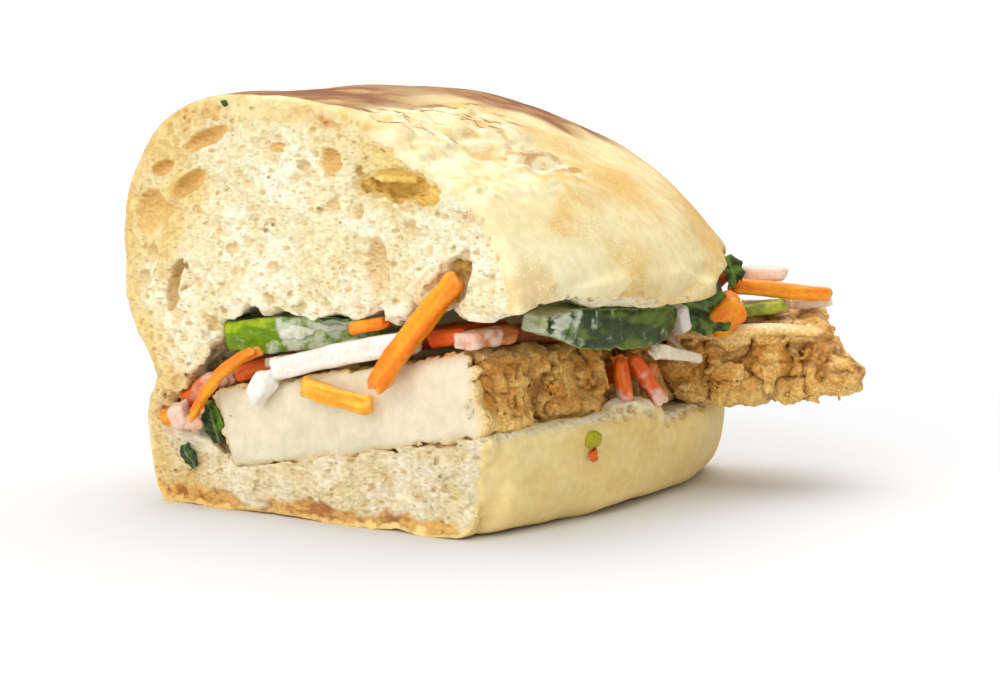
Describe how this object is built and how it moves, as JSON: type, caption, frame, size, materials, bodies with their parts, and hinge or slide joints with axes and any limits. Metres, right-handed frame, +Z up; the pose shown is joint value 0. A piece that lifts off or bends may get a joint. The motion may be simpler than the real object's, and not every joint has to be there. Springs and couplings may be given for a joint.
{
  "type": "banh mi sandwich half",
  "caption": "Half of a crusty slit roll, cut across, filled with fried tofu slabs, cucumber, pickled carrot and daikon sticks and herb leaves.",
  "frame": {"origin": "on the table under the middle of the roll, in the flat of its base", "axes": "+Z up; +X across the roll from the hinge of the slit to its open side; -Y towards the knife cut, +Y towards the baked end"},
  "size_m": [0.1237, 0.1223, 0.0842],
  "materials": {
    "bread": "pale baked crust, matt with a faint sheen, cream crumb where cut or torn",
    "tofu": "bumpy golden-brown fried skin, smooth cream where cut",
    "cucumber": "moist green peel with pale flesh",
    "carrot": "moist orange pickled carrot",
    "daikon": "moist white pickled daikon",
    "green_stick": "moist yellow-green stem",
    "herb": "dark wilted green leaf"
  },
  "bodies": {
    "root": {"bread": "bread", "carrot_stick_01": "carrot", "carrot_stick_02": "carrot", "carrot_stick_03": "carrot", "carrot_stick_04": "carrot", "carrot_stick_05": "carrot", "carrot_stick_06": "carrot", "carrot_stick_07": "carrot", "carrot_stick_08": "carrot", "carrot_stick_09": "carrot", "carrot_stick_10": "carrot", "carrot_stick_11": "carrot", "carrot_stick_12": "carrot", "carrot_stick_13": "carrot", "carrot_stick_14": "carrot", "carrot_stick_15": "carrot", "carrot_stick_16": "carrot", "carrot_stick_17": "carrot", "carrot_stick_18": "carrot", "cucumber_front": "cucumber", "cucumber_side": "cucumber", "daikon_stick_01": "daikon", "daikon_stick_02": "daikon", "daikon_stick_03": "daikon", "daikon_stick_04": "daikon", "daikon_stick_05": "daikon", "daikon_stick_06": "daikon", "daikon_stick_07": "daikon", "daikon_stick_08": "daikon", "daikon_stick_09": "daikon", "daikon_stick_10": "daikon", "daikon_stick_11": "daikon", "daikon_stick_12": "daikon", "daikon_stick_13": "daikon", "green_stick": "green_stick", "herb_leaf_01": "herb", "herb_leaf_02": "herb", "herb_leaf_03": "herb", "herb_leaf_04": "herb", "herb_leaf_05": "herb", "herb_leaf_06": "herb", "tofu_back": "tofu", "tofu_front": "tofu"}
  },
  "joints": []
}
